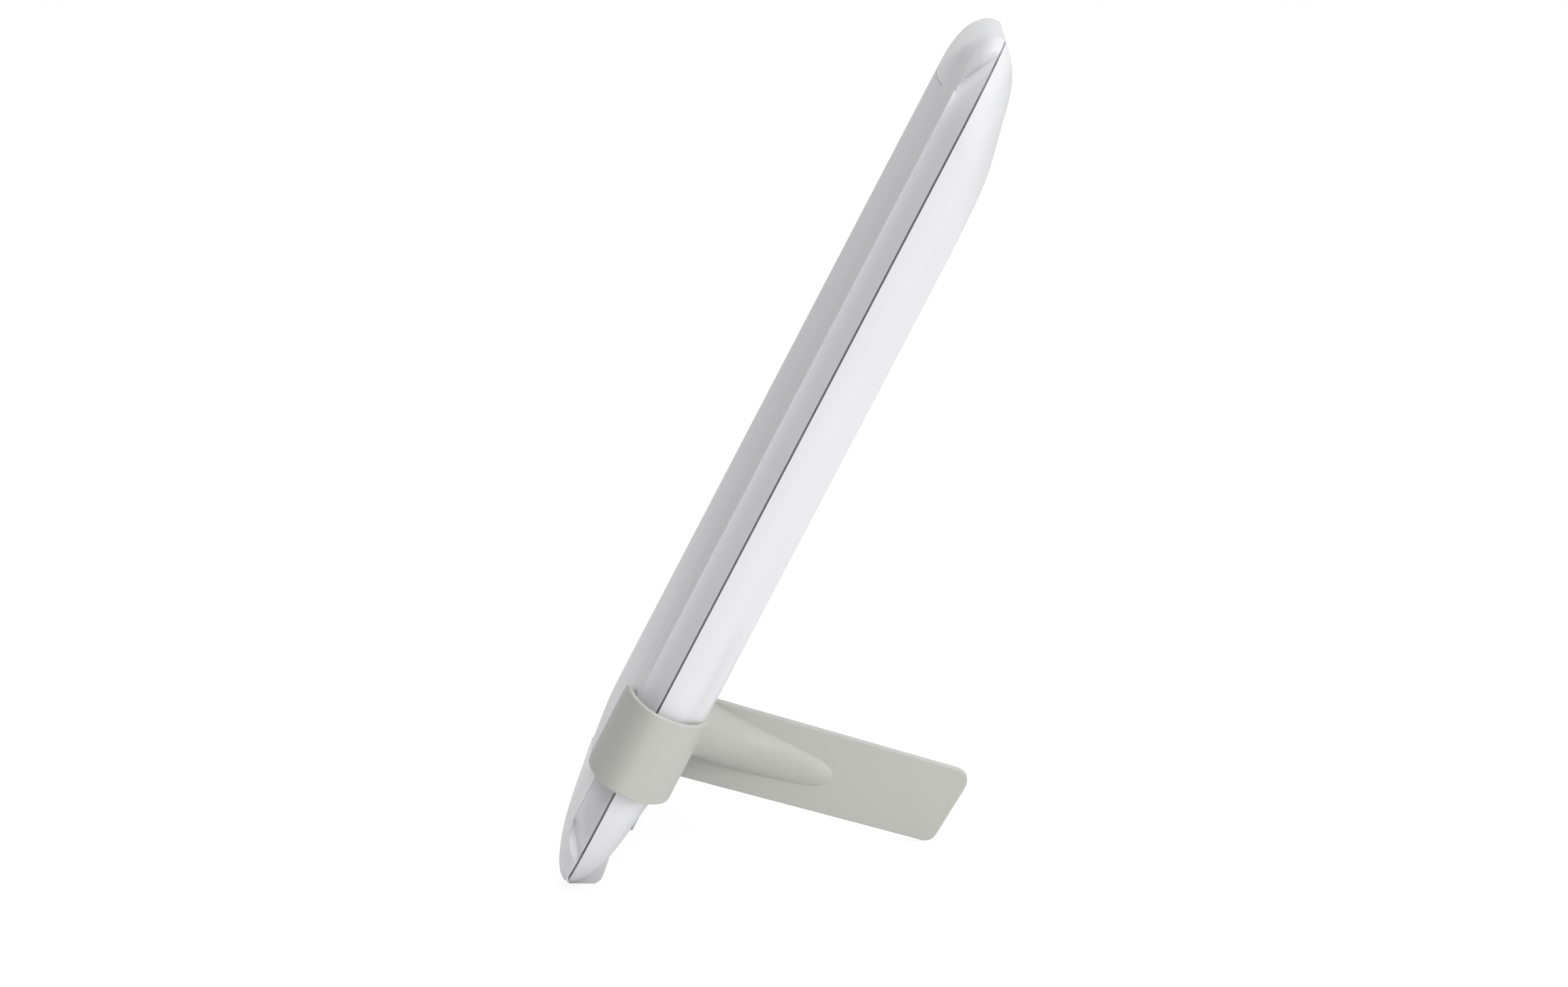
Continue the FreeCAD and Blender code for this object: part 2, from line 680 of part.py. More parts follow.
# switch_plunger, switch_body and switch_board
plunger = new_body("switch_plunger")
plunger_outline = new_sketch(plunger, "plunger_outline", "XZ_Plane", "-(%s + plunger_length)" % KEY_BACK)
circle(plunger_outline, "0", "key_height", "plunger_radius")
pad(plunger, "plunger_pad", plunger_outline, "plunger_length")
switch = slab(
    "switch_body",
    "-switch_size / 2",
    "switch_size / 2",
    "key_height - switch_size / 2",
    "key_height + switch_size / 2",
    "0.6",
    "switch_seat - board_thickness",
    "switch_seat - board_thickness - (%s + key_travel + 0.1)" % KEY_BACK,
)
well = new_sketch(switch, "well_outline", "XZ_Plane", "-(%s + key_travel + 0.1)" % KEY_BACK)
circle(well, "0", "key_height", "plunger_radius + key_gap")
pocket(switch, "well", well, "plunger_length", False)
switch_board = slab(
    "switch_board",
    "-switch_board_width / 2",
    "switch_board_width / 2",
    "key_height - switch_board_height / 2",
    "key_height + switch_board_height / 2",
    "1.0",
    "switch_seat",
    "board_thickness",
)
holes = new_sketch(switch_board, "switch_board_holes", "XZ_Plane", "-switch_seat")
for x in ("-switch_post_offset", "switch_post_offset"):
    circle(holes, x, "key_height", "small_screw_radius + 0.15")
pocket(switch_board, "switch_board_bores", holes, "board_thickness")

# driver_board with its components
driver = slab(
    "driver_board",
    "driver_offset - driver_width / 2",
    "driver_offset + driver_width / 2",
    "key_height - driver_height / 2",
    "key_height + driver_height / 2",
    "1.0",
    "driver_seat",
    "board_thickness",
)
bores = new_sketch(driver, "driver_board_holes", "XZ_Plane", "-driver_seat")
for side in ("- driver_post_pitch / 2", "+ driver_post_pitch / 2"):
    circle(bores, "driver_offset " + side, "key_height", "small_screw_radius + 0.15")
pocket(driver, "driver_board_bores", bores, "board_thickness")
for name, place, radius, height in (
    ("inductor", "driver_offset - 7.5", "3.6", "4.2"),
    ("capacitor", "driver_offset + 1", "2.8", "5.4"),
):
    can = new_body(name)
    can_outline = new_sketch(can, name + "_outline", "XZ_Plane", "-(driver_seat - board_thickness)")
    circle(can_outline, place, "key_height", radius)
    pad(can, name + "_pad", can_outline, height)
slab(
    "driver_chip",
    "driver_offset + 6",
    "driver_offset + 11",
    "key_height - 2.5",
    "key_height + 2.5",
    "",
    "driver_seat - board_thickness",
    "1.4",
)

# dc_jack and its centre pin: the supply socket, whose mouth sits in the rear housing
jack = slab(
    "dc_jack",
    "jack_offset - jack_width / 2",
    "jack_offset + jack_width / 2",
    "jack_height - jack_width / 2 - 1",
    "jack_height + jack_width / 2 + 1",
    "0.8",
    "jack_body_back",
    "jack_body_depth",
)
nose = new_sketch(jack, "nose_outline", "XZ_Plane", "-jack_face")
circle(nose, "jack_offset", "jack_height", "jack_nose_radius")
pad(jack, "nose", nose, "jack_face - jack_body_back + 1")
bore = new_sketch(jack, "bore_outline", "XZ_Plane", "-jack_face")
circle(bore, "jack_offset", "jack_height", "jack_bore_radius")
pocket(jack, "bore", bore, "jack_bore_depth")
pin = new_body("jack_pin")
pin_outline = new_sketch(pin, "pin_outline", "XZ_Plane", "-(jack_face - 1)")
circle(pin_outline, "jack_offset", "jack_height", "jack_pin_radius")
pad(pin, "pin_pad", pin_outline, "jack_bore_depth - 1")

# lead_red, lead_black and the clip that holds them on the housing
for name, level in (("lead_red", "lead_low + 2"), ("lead_black", "lead_low")):
    lead = new_body(name)
    lead_end = new_sketch(lead, name + "_section", "YZ_Plane", "jack_offset + jack_width / 2")
    circle(lead_end, "driver_seat - board_thickness / 2", level, "lead_radius")
    pad(lead, name + "_run", lead_end, "driver_offset - driver_width / 2 - jack_offset - jack_width / 2")
lead_clip = new_body("lead_clip")
saddle = new_sketch(lead_clip, "saddle_profile", "YZ_Plane", "-22")
rectangle(saddle, "driver_seat - 2", "driver_seat + 1.1", "lead_low - 1.1", "lead_low + 3.1")
for level in ("lead_low + 2", "lead_low"):
    circle(saddle, "driver_seat - board_thickness / 2", level, "lead_radius + 0.1")
pad(lead_clip, "saddle", saddle, "4")

# Screws: a low round head and a plain shank, one node for each size
def screws(name, places, seat, head_radius, head, radius, length, from_back):
    body = new_body(name)
    heads = new_sketch(body, name + "_heads", "XZ_Plane", "-(%s)" % seat)
    for x, z in places:
        circle(heads, x, z, head_radius)
    pad(body, name + "_head", heads, head).Reversed = from_back
    stems = new_sketch(body, name + "_stems", "XZ_Plane", "-(%s)" % seat)
    for x, z in places:
        circle(stems, x, z, radius)
    pad(body, name + "_shank", stems, length).Reversed = not from_back
    return body


corners = [("-post_offset", "post_height"), ("post_offset", "post_height")]
screws(
    "housing_screws", corners, "screw_seat", "screw_head_radius", "screw_head_height", "screw_radius", "screw_length", True
)
switch_places = [("-switch_post_offset", "key_height"), ("switch_post_offset", "key_height")]
screws(
    "switch_screws",
    switch_places,
    "switch_seat - board_thickness",
    "small_screw_radius * 2",
    "0.9",
    "small_screw_radius",
    "small_screw_length",
    False,
)
driver_places = [("driver_offset %s driver_post_pitch / 2" % sign, "key_height") for sign in "-+"]
screws(
    "driver_screws",
    driver_places,
    "driver_seat - board_thickness",
    "small_screw_radius * 2",
    "0.9",
    "small_screw_radius",
    "small_screw_length",
    False,
)

# stand: two clips round the panel's edges, an arm behind each, and the fin that reaches the table
stand = new_body("stand")


def quarter(sketch, front, run, reach):
    """A quarter of an ellipse round the clip's centre, in front of the clip's middle plane or behind it."""
    cx, cy, a, b = size("clip_centre"), size("clip_middle"), size(run), size(reach)
    sign = -1 if front else 1
    oval = Part.Ellipse(Vector(cx + a, cy, 0), Vector(cx, cy + b, 0), Vector(cx, cy, 0))
    start = -math.pi / 2 if front else 0
    arc = sketch.addGeometry(Part.ArcOfEllipse(oval, start, start + math.pi / 2))
    along = sketch.addGeometry(Part.LineSegment(Vector(cx, cy, 0), Vector(cx + a, cy, 0)))
    up = sketch.addGeometry(Part.LineSegment(Vector(cx, cy, 0), Vector(cx, cy + sign * b, 0)))
    wide_end, deep_end = (2, 1) if front else (1, 2)
    sketch.addConstraint(Sketcher.Constraint("Coincident", along, 1, up, 1))
    sketch.addConstraint(Sketcher.Constraint("Coincident", arc, 3, along, 1))
    sketch.addConstraint(Sketcher.Constraint("Coincident", arc, wide_end, along, 2))
    sketch.addConstraint(Sketcher.Constraint("Coincident", arc, deep_end, up, 2))
    sketch.addConstraint(Sketcher.Constraint("Horizontal", along))
    sketch.addConstraint(Sketcher.Constraint("Vertical", up))
    bind(sketch, ("DistanceX", -1, 1, along, 1), "clip_centre")
    bind(sketch, ("DistanceY", -1, 1, along, 1), "clip_middle")
    bind(sketch, ("Distance", along), run)
    bind(sketch, ("Distance", up), reach)


clip = []
for name, front_side, run, reach in (
    ("clip_front", True, "clip_run + clip_wall", "clip_front_reach + clip_wall"),
    ("clip_back", False, "clip_run + clip_wall", "clip_back_reach + clip_wall"),
):
    outline = new_sketch(stand, name + "_outline", "XY_Plane", "clip_low")
    quarter(outline, front_side, run, reach)
    clip.append(pad(stand, name, outline, "clip_height"))
for name, front_side, run, reach in (
    ("grip_front", True, "clip_run", "clip_front_reach"),
    ("grip_back", False, "clip_run", "clip_back_reach"),
):
    outline = new_sketch(stand, name + "_outline", "XY_Plane", "clip_low")
    quarter(outline, front_side, run, reach)
    cut = stand.newObject("PartDesign::Pocket", name)
    cut.Profile = outline
    cut.Reversed = True
    cut.setExpression("Length", dim("clip_height"))
    clip.append(cut)
# Each section of the arm: its place across, then corners as shares of the fin's length and the clip's height.
ARM = [
    ("clip_centre + 3", [(0.004, 0.43), (0.035, 0.48), (0.035, 0.92), (0.004, 0.96)]),
    ("clip_centre * 0.68", [(0.006, 0.32), (0.076, 0.41), (0.076, 0.845), (0.006, 0.91)]),
    ("clip_centre * 0.34", [(0.009, 0.14), (0.204, 0.386), (0.204, 0.755), (0.009, 0.81)]),
    ("1", [(0.012, -0.045), (0.657, 0.573), (0.657, 0.736), (0.012, 0.636)]),
]
arm_sections = []
for k, (place, outline) in enumerate(ARM):
    section = new_sketch(stand, "arm_section_%d" % k, "YZ_Plane", place)
    base = "clip_middle + clip_back_reach"
    points = [("%s + fin_length * %s" % (base, back), "clip_low + clip_height * %s" % level) for back, level in outline]
    polygon(section, points)
    arm_sections.append(section)
arm = loft(stand, "arm", "AdditiveLoft", arm_sections)
doc.recompute()
mirrored(stand, "other_side", clip + [arm])
fin = new_sketch(stand, "fin_outline", "YZ_Plane", "0")
TABLE = "(tan(lean * 1 deg) * (%s) - foot_drop)"
FIN_END = "fin_root + fin_length"
polygon(
    fin,
    [
        ("fin_root", "fin_root_low"),
        (FIN_END, TABLE % FIN_END + " - 0.167 * fin_corner"),
        (FIN_END + " + 1.4", "fin_tip_high"),
        ("fin_root", "fin_root_high"),
    ],
)
pad(stand, "fin", fin, "fin_thickness", both_ways=True)
doc.recompute()


def edges_near(body, spots, reach):
    """Names of the body's edges whose middles lie within reach of the spots."""
    names = []
    for k, edge in enumerate(body.Tip.Shape.Edges, start=1):
        middle = edge.valueAt((edge.FirstParameter + edge.LastParameter) / 2)
        if any(middle.distanceToPoint(spot) < reach for spot in spots):
            names.append("Edge%d" % k)
    return names


def fillet(body, name, spots, reach, radius):
    chosen = edges_near(body, spots, reach)
    base = body.Tip
    feature = body.newObject("PartDesign::Fillet", name)
    feature.Base = (base, chosen)
    feature.setExpression("Radius", dim(radius))
    doc.recompute()
    print(name, len(chosen), feature.State)
    return feature


tip_low = Vector(0, size(FIN_END), size(TABLE % FIN_END + " - 0.167 * fin_corner"))
tip_high = Vector(0, size(FIN_END + " + 1.4"), size("fin_tip_high"))
fillet(stand, "fin_tip_rounds", [tip_low, tip_high], 0.5, "fin_corner")
rims = []
for side in (-1, 1):
    for start, end in (("fin_root_high", "fin_tip_high"), ("fin_root_low", TABLE % FIN_END + " - 0.167 * fin_corner")):
        middle = (size("fin_root") + size(FIN_END)) / 2
        rims.append(Vector(side * size("fin_thickness / 2"), middle, (size(start) + size(end)) / 2))
fillet(stand, "fin_rims", rims, 6, "fin_edge")
lips = []
for side in (-1, 1):
    for level in ("clip_low", "clip_low + clip_height"):
        back = size("clip_middle - clip_front_reach - clip_wall / 2")
        lips.append(Vector(side * size("clip_centre"), back, size(level)))
fillet(stand, "lip_corners", lips, 0.3, "lip_corner")

# Stand the whole lamp on the table: lean it back, then put its box's middle over the origin.
lean = Placement(Vector(0, 0, 0), Rotation(Vector(-1, 0, 0), size("lean")))
for part in PARTS:
    part.Placement = lean
doc.recompute()
box = FreeCAD.BoundBox()
for part in PARTS:
    box.add(part.Shape.optimalBoundingBox(True, True))
seat = Placement(Vector(0, -(box.YMin + box.YMax) / 2, -box.ZMin), lean.Rotation)
for part in PARTS:
    part.Placement = seat
doc.recompute()

for item in doc.Objects:
    if "Invalid" in item.State or "Error" in item.State:
        raise RuntimeError("%s: %s" % (item.Label, item.State))
for part in PARTS:
    if part.Shape.isNull() or not part.Shape.isValid():
        raise RuntimeError("%s has no valid shape" % part.Label)

os.makedirs("parts", exist_ok=True)
for part in PARTS:
    part.Shape.exportStep("parts/%s.step" % part.Label)
    print(part.Label, round(part.Shape.Volume), len(part.Shape.Solids))
print("seat", seat.Base.y, seat.Base.z)
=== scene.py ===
import math

import bmesh
import bpy
from mathutils import Matrix, Vector


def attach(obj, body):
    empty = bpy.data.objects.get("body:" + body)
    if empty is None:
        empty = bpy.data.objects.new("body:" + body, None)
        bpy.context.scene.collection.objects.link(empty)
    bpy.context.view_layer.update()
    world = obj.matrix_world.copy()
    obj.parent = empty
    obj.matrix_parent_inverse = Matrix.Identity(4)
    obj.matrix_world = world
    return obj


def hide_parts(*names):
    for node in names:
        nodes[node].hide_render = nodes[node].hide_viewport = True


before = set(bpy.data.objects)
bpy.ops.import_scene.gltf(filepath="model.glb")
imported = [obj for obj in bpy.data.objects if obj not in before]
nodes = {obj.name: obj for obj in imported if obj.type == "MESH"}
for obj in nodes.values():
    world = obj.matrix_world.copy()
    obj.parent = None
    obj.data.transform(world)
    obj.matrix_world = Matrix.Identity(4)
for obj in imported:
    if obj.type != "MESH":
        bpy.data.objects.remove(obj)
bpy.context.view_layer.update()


# Moulded plastic
# Every moulding here came out of a steel tool, so its skin has a faint ripple from cooling and a fine
# spark-eroded grain. One shared group gives both as a normal and as small changes of roughness and tone.
RIPPLE_SCALE = 22.0  # waves per metre
RIPPLE_DISTANCE = 0.0006
GRAIN_DISTANCE = 0.00006
ROUGHNESS_DRIFT = 0.04
WELD_DISTANCE = 0.000005
NODE_CREASE = 32  # degrees


def moulded_skin_group():
    group = bpy.data.node_groups.new("moulded_skin", "ShaderNodeTree")
    sockets = group.interface
    for name in ("Grain Size", "Grain Height", "Ripple Height", "Base Roughness"):
        sockets.new_socket(name, in_out="INPUT", socket_type="NodeSocketFloat")
    sockets.new_socket("Normal", in_out="OUTPUT", socket_type="NodeSocketVector")
    sockets.new_socket("Roughness", in_out="OUTPUT", socket_type="NodeSocketFloat")
    sockets.new_socket("Tone", in_out="OUTPUT", socket_type="NodeSocketFloat")
    made, link = group.nodes, group.links.new
    given = made.new("NodeGroupInput")
    result = made.new("NodeGroupOutput")
    place = made.new("ShaderNodeTexCoord")
    grain = made.new("ShaderNodeTexNoise")
    grain.inputs["Detail"].default_value = 3.0
    link(place.outputs["Object"], grain.inputs["Vector"])
    link(given.outputs["Grain Size"], grain.inputs["Scale"])
    ripple = made.new("ShaderNodeTexNoise")
    ripple.inputs["Scale"].default_value = RIPPLE_SCALE
    ripple.inputs["Detail"].default_value = 1.0
    link(place.outputs["Object"], ripple.inputs["Vector"])
    slow = made.new("ShaderNodeBump")
    slow.inputs["Distance"].default_value = RIPPLE_DISTANCE
    link(given.outputs["Ripple Height"], slow.inputs["Strength"])
    link(ripple.outputs["Fac"], slow.inputs["Height"])
    fine = made.new("ShaderNodeBump")
    fine.inputs["Distance"].default_value = GRAIN_DISTANCE
    link(given.outputs["Grain Height"], fine.inputs["Strength"])
    link(grain.outputs["Fac"], fine.inputs["Height"])
    link(slow.outputs["Normal"], fine.inputs["Normal"])
    link(fine.outputs["Normal"], result.inputs["Normal"])
    spread = made.new("ShaderNodeMapRange")
    spread.inputs["To Min"].default_value = -ROUGHNESS_DRIFT
    spread.inputs["To Max"].default_value = ROUGHNESS_DRIFT
    link(ripple.outputs["Fac"], spread.inputs["Value"])
    total = made.new("ShaderNodeMath")
    link(given.outputs["Base Roughness"], total.inputs[0])
    link(spread.outputs["Result"], total.inputs[1])
    link(total.outputs["Value"], result.inputs["Roughness"])
    link(ripple.outputs["Fac"], result.inputs["Tone"])
    return group


moulded_skin = moulded_skin_group()


def plastic(name, color, roughness, grain=0.1, ripple=0.1, grain_size=2500.0, coat=0.0, shade=0.97):
    """A moulded plastic: one colour that drifts slightly towards a shade of itself, and the shared skin."""
    material = bpy.data.materials.new(name)
    material.use_nodes = True
    tree = material.node_tree
    shader = tree.nodes["Principled BSDF"]
    skin = tree.nodes.new("ShaderNodeGroup")
    skin.node_tree = moulded_skin
    skin.inputs["Grain Size"].default_value = grain_size
    skin.inputs["Grain Height"].default_value = grain
    skin.inputs["Ripple Height"].default_value = ripple
    skin.inputs["Base Roughness"].default_value = roughness
    tone = tree.nodes.new("ShaderNodeMix")
    tone.data_type = "RGBA"
    tone.inputs["A"].default_value = (*[c * shade for c in color], 1)
    tone.inputs["B"].default_value = (*color, 1)
    tree.links.new(skin.outputs["Tone"], tone.inputs["Factor"])
    tree.links.new(tone.outputs["Result"], shader.inputs["Base Color"])
    tree.links.new(skin.outputs["Roughness"], shader.inputs["Roughness"])
    tree.links.new(skin.outputs["Normal"], shader.inputs["Normal"])
    shader.inputs["Coat Weight"].default_value = coat
    return material


def crease_edges(piece, degrees):
    """Splits a piece's shading along the edges that turn by more than an angle."""
    split = piece.modifiers.new("creases", "EDGE_SPLIT")
    split.split_angle = math.radians(degrees)
    split.use_edge_sharp = False


def finish_node(name, material):
    """Gives a CAD node its finish, and shades its round faces smoothly up to a crease angle."""
    piece = nodes[name]
    piece.data.materials.clear()
    piece.data.materials.append(material)
    for face in piece.data.polygons:
        face.material_index = 0
        face.use_smooth = True
    weld = piece.modifiers.new("weld", "WELD")
    weld.merge_threshold = WELD_DISTANCE
    crease_edges(piece, NODE_CREASE)


# Front frame and power button
# Injection-moulded glossy white, slightly cool: a soft crown, a sharp crease, and a scooped finger channel
# along each long side that ends in an arch. The panel is drawn upright in millimetres, then leans into its
# place. The key is the CAD node, and stands a little proud of this shell's face.
LEAN = Matrix.Translation((0, -0.053981, 0.000799)) @ Matrix.Rotation(math.radians(-27.4), 4, "X")
PANEL = LEAN @ Matrix.Scale(0.001, 4)
HALF_WIDTH, LENGTH, FRONT_DEPTH = 78.0, 235.0, 10.3
BASE_RUN, BASE_DROP = 42.0, 10.8
TOP_RUN, TOP_DROP = 16.0, 9.0
CREASE_INSET, DOME_RISE, CROWN_POWER = 7.0, 4.4, 2.8
CREASE_LEVEL, GROOVE_LEVEL, TONGUE_LEVEL = -5.9, -0.25, 0.9
TONGUE_ACROSS, TONGUE_ALONG = 0.975, 0.985  # shares of the outline at the groove
CREASE_CORNER, CORNER_GAIN = 22.0, 3.0
CHANNEL_SPREAD, CHANNEL_HOLLOW, CHANNEL_BEND = 6.2, 1.7, 0.6
CHANNEL_HIGH, CHANNEL_LOW, CHANNEL_FADE = 215.0, 20.0, 0.6
ARCH_ABOVE, ARCH_BELOW = 17.0, 10.5
WINDOW_HALF, WINDOW_LOW, WINDOW_HIGH, WINDOW_CORNER = 61.0, 30.0, 218.0, 12.0
LIP_DEPTH = 2.5
CORNER_STEPS, END_STEPS, FLANK_STEPS, FACE_STEPS = 150, 14, 22, 16
LADDER = [k / 26 for k in range(1, 26)]  # shares along each long side


def ellipse_drop(run, drop, way_in):
    """Depth below the crown, at a distance in from an end that falls away as a quarter of an ellipse."""
    share = max(0.0, 1 - way_in / run)
    return drop * (1 - math.sqrt(1 - min(1.0, share) ** 2))


def ellipse_inset(run, drop, depth):
    """How far in from the end that quarter of an ellipse reaches a depth."""
    return run * (1 - math.sqrt(1 - ((drop - min(depth, drop)) / drop) ** 2))


def crown_depth(x, z):
    """Depth of the crowned face below its highest point: three falls that blend into one."""
    across = DOME_RISE * (abs(x) / (HALF_WIDTH - CREASE_INSET)) ** CROWN_POWER
    below = ellipse_drop(BASE_RUN, BASE_DROP, z)
    above = ellipse_drop(TOP_RUN, TOP_DROP, LENGTH - z)
    return (across**4 + below**4 + above**4) ** 0.25


def round_rectangle(half, low, high, radius):
    """Points and outward directions round a rectangle, starting at its lower right corner."""
    points = []
    for centre, start in ((low + radius, -90), (high - radius, 0)):
        for k in range(CORNER_STEPS + 1):
            angle = math.radians(start + 90 * k / CORNER_STEPS)
            nx, nz = math.cos(angle), math.sin(angle)
            points.append((half - radius + radius * nx, centre + radius * nz, nx, nz))
        if start < 0:
            for share in LADDER:
                points.append((half, low + radius + share * (high - low - 2 * radius), 1.0, 0.0))
    across = [(half - radius) * (1 - 2 * k / END_STEPS) for k in range(1, END_STEPS)]
    top = [(x, high, 0.0, 1.0) for x in across]
    left = [(-x, z, -nx, nz) for x, z, nx, nz in reversed(points)]
    bottom = [(-x, low, 0.0, -1.0) for x in across]
    return points + top + left + bottom


def flank_ring(y):
    """The frame's outline at a level of its flank, with the two channels scooped into the long sides."""
    share = min(1.0, (y - CREASE_LEVEL) / (GROOVE_LEVEL - CREASE_LEVEL))
    half = HALF_WIDTH - CREASE_INSET * (1 - share) ** 2
    low = ellipse_inset(BASE_RUN, BASE_DROP, FRONT_DEPTH + y)
    high = LENGTH - ellipse_inset(TOP_RUN, TOP_DROP, FRONT_DEPTH + y)
    hollow = CHANNEL_HOLLOW * math.sin(math.pi * share**CHANNEL_BEND)
    scoop = half - (HALF_WIDTH - CREASE_INSET + CHANNEL_SPREAD * share - hollow)
    arch = math.sqrt(1 - (1 - share) ** 2)
    top, bottom = CHANNEL_HIGH + ARCH_ABOVE * arch, CHANNEL_LOW - ARCH_BELOW * arch
    ring = []
    for x, z, nx, nz in round_rectangle(half, low, high, CREASE_CORNER + CORNER_GAIN * share):
        inside = min(1.0, max(0.0, (top - z) / CHANNEL_FADE), max(0.0, (z - bottom) / CHANNEL_FADE))
        ring.append((x - scoop * inside * nx, y, z - scoop * inside * nz))
    return ring


def tongue_ring(y):
    """A ring inside the parting groove: the outline there, drawn in a little."""
    middle = LENGTH / 2
    outline = flank_ring(GROOVE_LEVEL)
    return [(x * TONGUE_ACROSS, y, middle + (z - middle) * TONGUE_ALONG) for x, _, z in outline]


def face_ring(share, inner, outer):
    """Points on the crown at a share of the way from an outer ring to an inner one."""
    ring = []
    for (ox, oz), (ix, iz) in zip(outer, inner):
        x, z = ox + (ix - ox) * share, oz + (iz - oz) * share
        miss = DOME_RISE - crown_depth(ox, oz)
        ring.append((x, crown_depth(x, z) - FRONT_DEPTH + miss * (1 - share) ** 2, z))
    return ring


def add_object(name, data):
    """Puts data into the scene as an object."""
    thing = bpy.data.objects.new(name, data)
    bpy.context.scene.collection.objects.link(thing)
    return thing


def mesh_piece(name, grid, material):
    """A smooth-shaded piece from a finished bmesh, with its faces turned outwards."""
    bmesh.ops.recalc_face_normals(grid, faces=grid.faces)
    data = bpy.data.meshes.new(name)
    grid.to_mesh(data)
    grid.free()
    for face in data.polygons:
        face.use_smooth = True
    data.materials.append(material)
    return add_object(name, data)


def surface(name, rings, material, closed=True, capped=None):
    """A mesh through rings of panel points that all have the same count. A face can close one of them."""
    grid = bmesh.new()
    rows = [[grid.verts.new(PANEL @ Vector(point)) for point in ring] for ring in rings]
    count = len(rows[0])
    for upper, lower in zip(rows, rows[1:]):
        for k in range(count if closed else count - 1):
            after = (k + 1) % count
            grid.faces.new((upper[k], upper[after], lower[after], lower[k]))
    if capped is not None:
        grid.faces.new(rows[capped])
    return mesh_piece(name, grid, material)


def bake(piece):
    """Puts the result of a piece's modifiers into its mesh."""
    view = bpy.context.evaluated_depsgraph_get()
    made = bpy.data.meshes.new_from_object(piece.evaluated_get(view))
    piece.modifiers.clear()
    piece.data = made


front_white = plastic("front_white_gloss", (0.80, 0.80, 0.83), 0.22, grain=0.03, ripple=0.06, coat=0.3)
finish_node("power_button", front_white)

flank_height = GROOVE_LEVEL - CREASE_LEVEL
flank_levels = [GROOVE_LEVEL - flank_height * k / FLANK_STEPS for k in range(FLANK_STEPS)]
crease = flank_ring(CREASE_LEVEL)
flank_rings = [tongue_ring(TONGUE_LEVEL), tongue_ring(GROOVE_LEVEL)]
flank_rings += [flank_ring(y) for y in flank_levels] + [crease]

window = [(x, z) for x, z, nx, nz in round_rectangle(WINDOW_HALF, WINDOW_LOW, WINDOW_HIGH, WINDOW_CORNER)]
rim = [(x, z) for x, y, z in crease]
face_rings = [face_ring(k / FACE_STEPS, window, rim) for k in range(1, FACE_STEPS + 1)]
lip = [(x, y + LIP_DEPTH, z) for x, y, z in face_rings[-1]]
front_shell = surface("front_shell", flank_rings + face_rings + [face_rings[-1], lip], front_white)
crease_edges(front_shell, 24)
bake(front_shell)
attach(front_shell, "panel")
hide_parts("front_frame")

# Diffuser
# Opal acrylic sheet with a fine satin texture that hides the light chips behind it. It carries on the
# frame's crown, and a short skirt on each long side goes down into the window.
LENS_GAP, SKIRT_DEPTH = 0.07, 2.6
LENS_ROWS, LENS_COLUMNS = 96, 48

opal = plastic("opal_diffuser", (0.80, 0.80, 0.83), 0.26, grain=0.06, ripple=0.02, grain_size=4000.0)
opal_shader = opal.node_tree.nodes["Principled BSDF"]
opal_shader.inputs["Subsurface Weight"].default_value = 0.3
opal_shader.inputs["Subsurface Radius"].default_value = (0.004, 0.004, 0.004)
opal_shader.inputs["Subsurface Scale"].default_value = 1.0

lens_low, lens_high = WINDOW_LOW + LENS_GAP, WINDOW_HIGH - LENS_GAP
lens_rings = []
for row in range(LENS_ROWS + 1):
    z = lens_low + (lens_high - lens_low) * row / LENS_ROWS
    near_end = min(WINDOW_CORNER, max(0.0, min(z - lens_low, lens_high - z)))
    corner = math.sqrt(WINDOW_CORNER**2 - (WINDOW_CORNER - near_end) ** 2)
    half = WINDOW_HALF - LENS_GAP - WINDOW_CORNER + corner
    across = [half * (2 * k / LENS_COLUMNS - 1) for k in range(LENS_COLUMNS + 1)]
    tops = [(x, crown_depth(x, z) - FRONT_DEPTH, z) for x in across]
    skirt = tops[0][1] + SKIRT_DEPTH
    lens_rings.append([(-half, skirt, z)] + tops + [(half, skirt, z)])
lens = surface("diffuser_lens", lens_rings, opal, closed=False)
crease_edges(lens, 40)
bake(lens)
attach(lens, "panel")
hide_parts("diffuser")

# Rear housing and the two pads under the panel
# Glossy white tray, a little warmer than the front, with soft white pads set into its lower end.
rear_white = plastic("rear_white_gloss", (0.84, 0.84, 0.86), 0.26, grain=0.04, ripple=0.05, coat=0.2)
finish_node("rear_housing", rear_white)
pad_white = plastic("pad_soft_white", (0.78, 0.78, 0.79), 0.6, grain=0.3, ripple=0.05, grain_size=1500.0)
for name in ("foot_left", "foot_right"):
    finish_node(name, pad_white)

# Stand: the two clips and the band
# One moulding in a warm grey, satin from a finely etched tool: a clip with soft rims round each edge of the
# panel, and a band behind the panel that joins them. Drawn in the panel's own millimetres.
CLIP_CENTRE, CLIP_MIDDLE = 57.3, 0.6
OUTER_RUN, OUTER_FRONT, OUTER_BACK = 24.2, 10.0, 12.4
INNER_RUN, INNER_FRONT, INNER_BACK = 22.6, 8.5, 10.85
LIP_START, LIP_END, CLIP_STEPS = -86, 90, 48  # degrees round the panel's edge
BAND_STATIONS, BAND_BACK, BAND_FRONT = (52, 46, 40, 30, 15, 0), 12.95, 11.75
CLIP_LOW, CLIP_HIGH, LIP_CORNER = 31.0, 53.0, 4.5
BAND_START, BAND_FADE = 62.0, 14.0  # where the height draws in, across the panel
BAND_LIFT, BAND_SINK = 3.5, 6.5

stand_grey = plastic("stand_warm_grey", (0.57, 0.57, 0.535), 0.36, grain=0.2, ripple=0.08, grain_size=1800.0)


